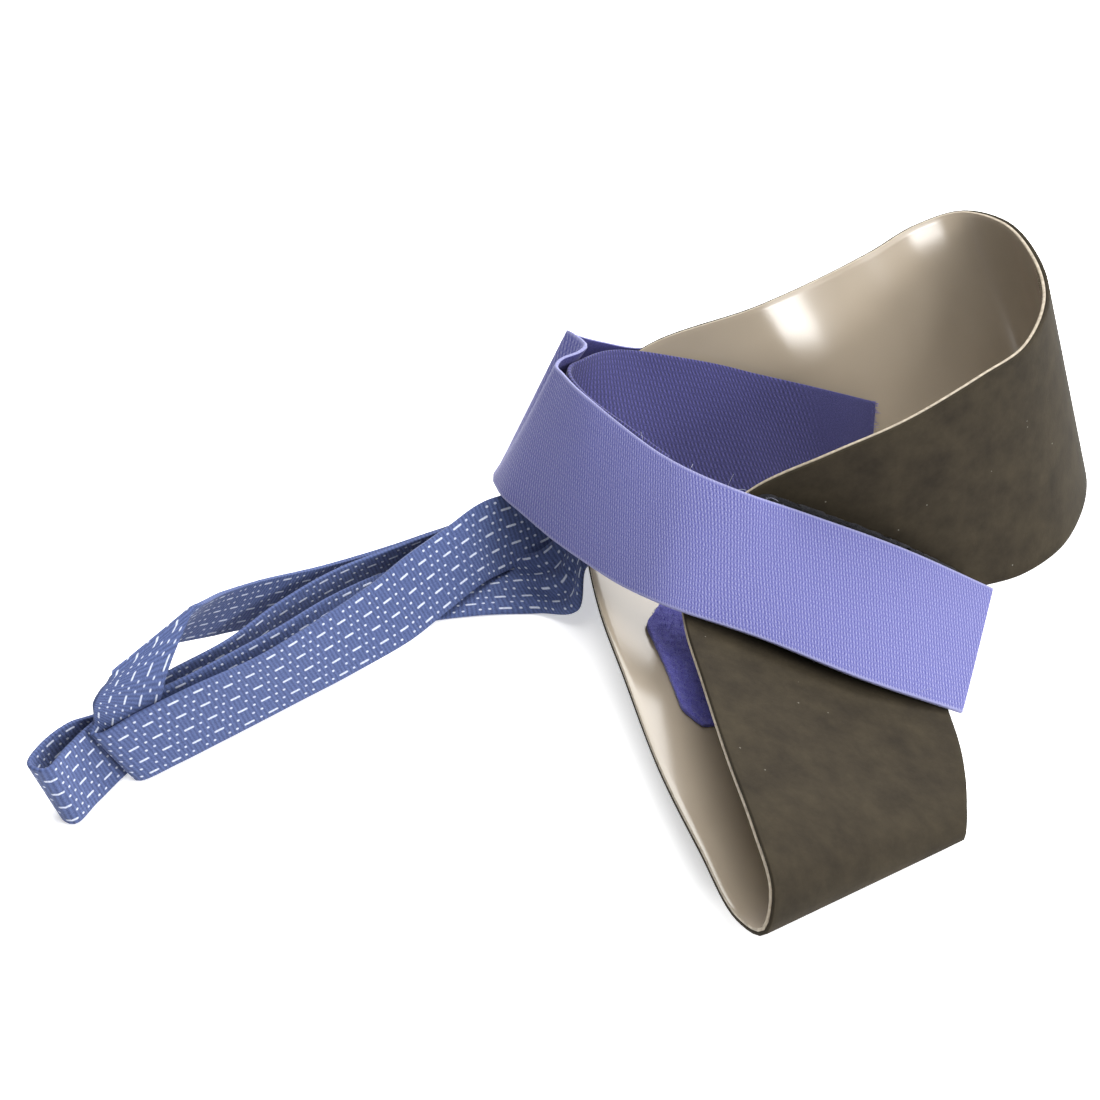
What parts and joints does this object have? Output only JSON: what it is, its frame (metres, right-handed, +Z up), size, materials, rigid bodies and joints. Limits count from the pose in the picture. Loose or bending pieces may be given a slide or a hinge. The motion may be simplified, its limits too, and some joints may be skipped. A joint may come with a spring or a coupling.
{
  "type": "sock aid",
  "caption": "Springy laminated band bent into a two-lobed ring, closed by a touch-fastening strap, with a looped webbing pull, for drawing a sock on without bending.",
  "frame": {"origin": "centre of the overall box at the level of the surface that the aid lies on", "axes": "+X points away from the webbing pull towards the band, which is the longest direction; +Y points away from the strap side; +Z is up"},
  "size_m": [0.3456, 0.2814, 0.0832],
  "materials": {
    "liner": "smooth slick sheet, taupe",
    "grip": "matt fine-cell grip foam, dark brown grey",
    "seam_tape": "black woven tape",
    "black_pile": "fuzzy loop pile, black",
    "violet_pile": "fuzzy loop pile, blue violet",
    "hook_strap": "woven nylon, periwinkle",
    "pile_strap": "brushed loop strap, violet",
    "webbing": "ribbed webbing, blue with white woven dashes",
    "thread": "sewing thread, dark blue"
  },
  "bodies": {
    "band": {"liner_band": "liner", "grip_band": "grip", "band_seam_tape": "seam_tape", "outer_pile_pad": "black_pile", "inner_pile_patch": "violet_pile", "hook_strap_wrap": "hook_strap", "pile_strap": "pile_strap", "pull_root_ends": "webbing", "pull_bar_tacks": "thread"},
    "strap_end": {"hook_strap_end": "hook_strap"},
    "pull": {"long_pull_loop": "webbing", "short_pull_loop": "webbing"}
  },
  "joints": [
    {"name": "strap_peel", "type": "hinge", "parent": "band", "child": "strap_end", "pos_m": [0.044, 0.0113, 0.0588], "axis": [-0.4077, -0.7928, -0.4531], "range_deg": [0, 70]},
    {"name": "pull_lift", "type": "hinge", "parent": "band", "child": "pull", "pos_m": [-0.027, 0.0333, 0.0268], "axis": [-0.6, 0.8, 0], "range_deg": [0, 40]}
  ]
}
